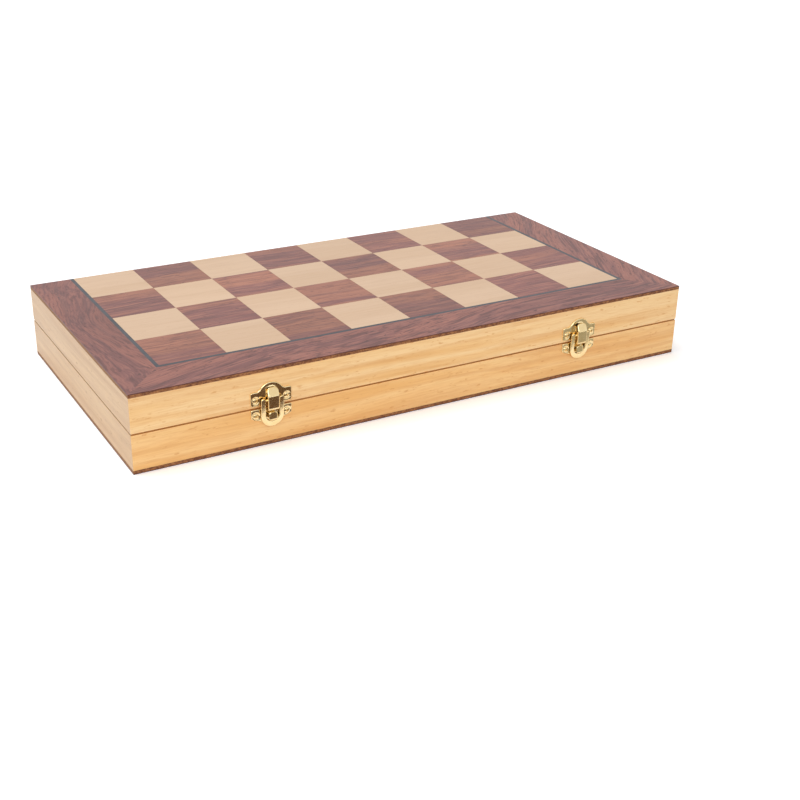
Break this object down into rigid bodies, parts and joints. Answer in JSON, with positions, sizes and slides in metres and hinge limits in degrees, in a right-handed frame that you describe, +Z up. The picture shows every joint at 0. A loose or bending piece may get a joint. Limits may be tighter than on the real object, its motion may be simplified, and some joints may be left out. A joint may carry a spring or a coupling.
{
  "type": "folding chess set",
  "caption": "Flat hinged wooden case that opens into an inlaid chessboard, closed by draw latches and holding turned chessmen in cut foam trays.",
  "frame": {"origin": "centre of the underside of the closed case", "axes": "+X along the case to the right seen from the latches, +Y from the latches to the hinges, +Z up through the closed case"},
  "size_m": [0.39, 0.2038, 0.049],
  "materials": {
    "pine": "light pine with a faint lengthwise grain under satin lacquer",
    "border_veneer": "purple-brown figured rosewood veneer under satin lacquer",
    "dark_veneer": "reddish dark brown veneer, straight grain, satin lacquer",
    "light_veneer": "beige maple veneer, satin lacquer",
    "inlay": "dyed blue-grey line of veneer, satin lacquer",
    "board_core": "dark brown fibreboard with a rough cut edge",
    "felt": "green felt",
    "foam": "black closed-cell foam, cut to shape",
    "brass": "polished brass plating",
    "light_wood": "turned boxwood, satin lacquer",
    "dark_wood": "turned wood stained dark brown, satin lacquer"
  },
  "bodies": {
    "lower_half": {"lower_board_core": "board_core", "lower_front_border": "border_veneer", "lower_left_border": "border_veneer", "lower_right_border": "border_veneer", "lower_inlay_line": "inlay", "lower_dark_squares": "dark_veneer", "lower_light_squares": "light_veneer", "lower_front_rail": "pine", "lower_right_rail": "pine", "lower_back_rail": "pine", "lower_left_rail": "pine", "lower_felt_lining": "felt", "lower_foam_tray": "foam", "lower_hinge_screws": "brass", "lower_latch_screws": "brass", "light_king": "light_wood", "light_queen": "light_wood", "light_bishops": "light_wood", "light_knights": "light_wood", "light_rooks": "light_wood", "light_pawns": "light_wood", "left_hinge_lower_leaf": "brass", "left_hinge_pin": "brass", "left_latch_lower_plate": "brass", "right_hinge_lower_leaf": "brass", "right_hinge_pin": "brass", "right_latch_lower_plate": "brass"},
    "upper_half": {"upper_board_core": "board_core", "upper_front_border": "border_veneer", "upper_left_border": "border_veneer", "upper_right_border": "border_veneer", "upper_inlay_line": "inlay", "upper_dark_squares": "dark_veneer", "upper_light_squares": "light_veneer", "upper_front_rail": "pine", "upper_right_rail": "pine", "upper_back_rail": "pine", "upper_left_rail": "pine", "upper_felt_lining": "felt", "upper_foam_tray": "foam", "upper_hinge_screws": "brass", "upper_latch_screws": "brass", "dark_king": "dark_wood", "dark_queen": "dark_wood", "dark_bishops": "dark_wood", "dark_knights": "dark_wood", "dark_rooks": "dark_wood", "dark_pawns": "dark_wood", "left_hinge_upper_leaf": "brass", "left_latch_upper_plate": "brass", "left_latch_pin": "brass", "right_hinge_upper_leaf": "brass", "right_latch_upper_plate": "brass", "right_latch_pin": "brass"},
    "left_lever": {"left_latch_lever": "brass"},
    "left_bail": {"left_latch_bail": "brass"},
    "right_lever": {"right_latch_lever": "brass"},
    "right_bail": {"right_latch_bail": "brass"}
  },
  "joints": [
    {"name": "lid_hinge", "type": "hinge", "parent": "lower_half", "child": "upper_half", "pos_m": [0, 0.09862, 0.0245], "axis": [-1, 0, 0], "range_deg": [0, 180]},
    {"name": "left_lever", "type": "hinge", "parent": "upper_half", "child": "left_lever", "pos_m": [-0.1108, -0.1016, 0.0252], "axis": [1, 0, 0], "range_deg": [0, 140]},
    {"name": "left_bail", "type": "hinge", "parent": "left_lever", "child": "left_bail", "pos_m": [-0.1108, -0.1011, 0.0295], "axis": [1, 0, 0], "range_deg": [-126, 0]},
    {"name": "right_lever", "type": "hinge", "parent": "upper_half", "child": "right_lever", "pos_m": [0.1108, -0.1016, 0.0252], "axis": [1, 0, 0], "range_deg": [0, 140]},
    {"name": "right_bail", "type": "hinge", "parent": "right_lever", "child": "right_bail", "pos_m": [0.1108, -0.1011, 0.0295], "axis": [1, 0, 0], "range_deg": [-126, 0]}
  ],
  "couplings": [
    {"joint": "left_bail", "follows": "left_lever", "ratio": -0.9},
    {"joint": "right_bail", "follows": "right_lever", "ratio": -0.9}
  ]
}
